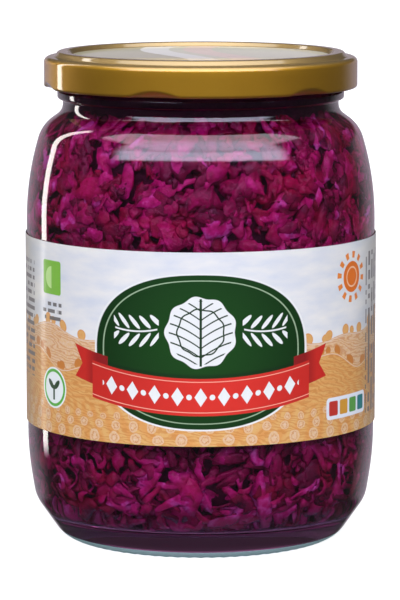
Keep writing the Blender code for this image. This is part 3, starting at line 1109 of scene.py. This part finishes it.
DEEP_GILT = (0.52, 0.26, 0.012)
GILT = (0.6, 0.33, 0.022)
# the gold of the painted reflection on the ring and the step
REFLECTION_GILT = (0.4, 0.27, 0.1)
PALE_SAGE = (0.66, 0.64, 0.5)
DULL_SAGE = (0.48, 0.46, 0.32)
BLUSH = (0.78, 0.62, 0.52)
LID_WHITE = (0.82, 0.81, 0.74)
gilt = gold.mix(drift, DEEP_GILT, GILT)
# painted reflection: the raised ring and the step below it get a paler, duller gold than the skirt, so that
# the highlights they catch look whiter
painted_reflection_top = gold.soft_step(spot_z, lid_high - STEP_DROP - 1.0 * MM, lid_high - STEP_DROP)
on_panel = printed(larger(from_axis - PANEL_RADIUS, lid_high - PANEL_DROP - 0.3 * MM - spot_z))
# three bands wave across the panel
swash = (spot_x - 6 * MM) + sine(spot_y * 70.0) * 7 * MM
design = gold.mix(printed(abs(swash) - 4 * MM), PALE_SAGE, BLUSH)
design = gold.mix(printed(abs(swash + 12 * MM) - 4 * MM), design, LID_WHITE)
design = gold.mix(printed(swash + 16 * MM), design, DULL_SAGE)
gold.set(
    base_color=gold.mix(on_panel, gold.mix(painted_reflection_top, gilt, REFLECTION_GILT), design),
    metallic=(1 - on_panel) * 0.85,
    roughness=0.43 + satin * 0.12,
    coat_weight=1 - on_panel * 0.2,
    normal=gold.bump(satin, 0.012 * MM, 0.6),
)
lid.data.materials.append(gold.material)
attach(lid, "root")
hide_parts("lid")


# The stage is a plain pale floor. Glossy reflections pass it and see the studio's own dark and light
# below the table, as on a small product table, so that the glass keeps its depth.

bpy.ops.mesh.primitive_plane_add(size=12)
ground = bpy.context.object
ground.name = "floor"
pale = Finish("pale_floor", base_color=(0.36, 0.36, 0.36), roughness=0.9, specular_ior_level=0.0)
in_view = pale.node("ShaderNodeLightPath")
pale.set(emission_color=pale.mix(in_view, (0.0, 0.0, 0.0), (0.8, 0.8, 0.8)), emission_strength=1.0)
ground.data.materials.append(pale.material)
ground.visible_glossy = False


# The studio, as light by direction round the jar: a flat soft box overhead, an apron that carries it down
# at the front and is brightest along its lower edge, a tall strip behind the left shoulder, a pale paper
# backdrop and a dark room.

world = bpy.data.worlds.new("studio")
world.use_nodes = True
bpy.context.scene.world = world
studio = Nodes(world.node_tree)
towards_x, towards_y, towards_z = studio.axes(studio.node("ShaderNodeTexCoord"))
# degrees round from the front, + to the right, and degrees above the horizon
radians_round = studio.node("ShaderNodeMath", {"operation": "ARCTAN2"}, {0: towards_x, 1: -towards_y})
radians_above = studio.node("ShaderNodeMath", {"operation": "ARCSINE"}, {0: towards_z})
azimuth = radians_round * (180 / math.pi)
elevation = radians_above * (180 / math.pi)


def lit_between(value, low, high, softness):
    """1 between two angles, with soft edges outside them."""
    return studio.soft_step(value, low - softness, low) * studio.soft_step(value, high + softness, high)


ROOM_LIGHT = 0.04
OVERHEAD_LIGHT, FRONT_HALF_MORE = 2.4, 2.1
APRON_LIGHT, APRON_EDGE_MORE = 3.8, 1.6
STRIP_LIGHT = 5.8
BACKDROP_LIGHT = 0.36
APRON_LOW = 24.6

# how far sideways and forward a direction goes for each unit that it rises
above = larger(towards_z, 0.001)
sideways, forward = abs(towards_x) / above, -towards_y / above
front_half = studio.soft_step(forward, 0.2, 0.8)
overhead = studio.soft_step(sideways, 1.15, 0.9) * lit_between(forward, -0.1, 1.3, 0.1)
# the apron's lower edge drops towards its sides
over_edge = elevation + (azimuth / 62.0) ** 2 * 4.6
apron = studio.soft_step(abs(azimuth), 68.0, 56.0) * lit_between(over_edge, APRON_LOW, 60.0, 0.8)
by_the_edge = studio.soft_step(over_edge, APRON_LOW + 6.4, APRON_LOW + 2.4)
apron = apron * (by_the_edge * APRON_EDGE_MORE + APRON_LIGHT)
soft_box = larger(overhead * (front_half * FRONT_HALF_MORE + OVERHEAD_LIGHT), apron)
strip = lit_between(azimuth, -128.7, -123.3, 1.5) * lit_between(elevation, -10.0, 42.0, 4.0)
backdrop = studio.soft_step(abs(azimuth), 122.0, 150.0)
backdrop = backdrop * lit_between(elevation, -16.0, 6.0, 6.0)
room = soft_box + backdrop * BACKDROP_LIGHT + strip * STRIP_LIGHT + ROOM_LIGHT
seen = studio.node("ShaderNodeLightPath")
background = world.node_tree.nodes["Background"]
WHITE = (1.0, 1.0, 1.0)
COOL, LILAC, WARM = (0.9, 0.92, 1.1), (0.97, 0.85, 1.0), (1.0, 0.95, 0.88)
tint = studio.mix(backdrop, studio.mix(front_half, WHITE, COOL), LILAC)
tint = studio.mix(strip, tint, WARM)
# the camera itself sees plain white behind the jar
studio.join(background.inputs["Color"], studio.mix(seen, tint, WHITE))
studio.join(background.inputs["Strength"], seen + (1 - seen) * room)
bpy.context.scene.view_settings.view_transform = "Standard"

camera = bpy.data.objects.new("camera", bpy.data.cameras.new("camera"))
camera.data.lens = 207.7
camera.data.sensor_width = 36.0
camera.location = (-0.0002, -0.950, 0.200)
camera.rotation_euler = (math.radians(90 - 8.07), 0.0, 0.0)
bpy.context.scene.collection.objects.link(camera)
bpy.context.scene.camera = camera
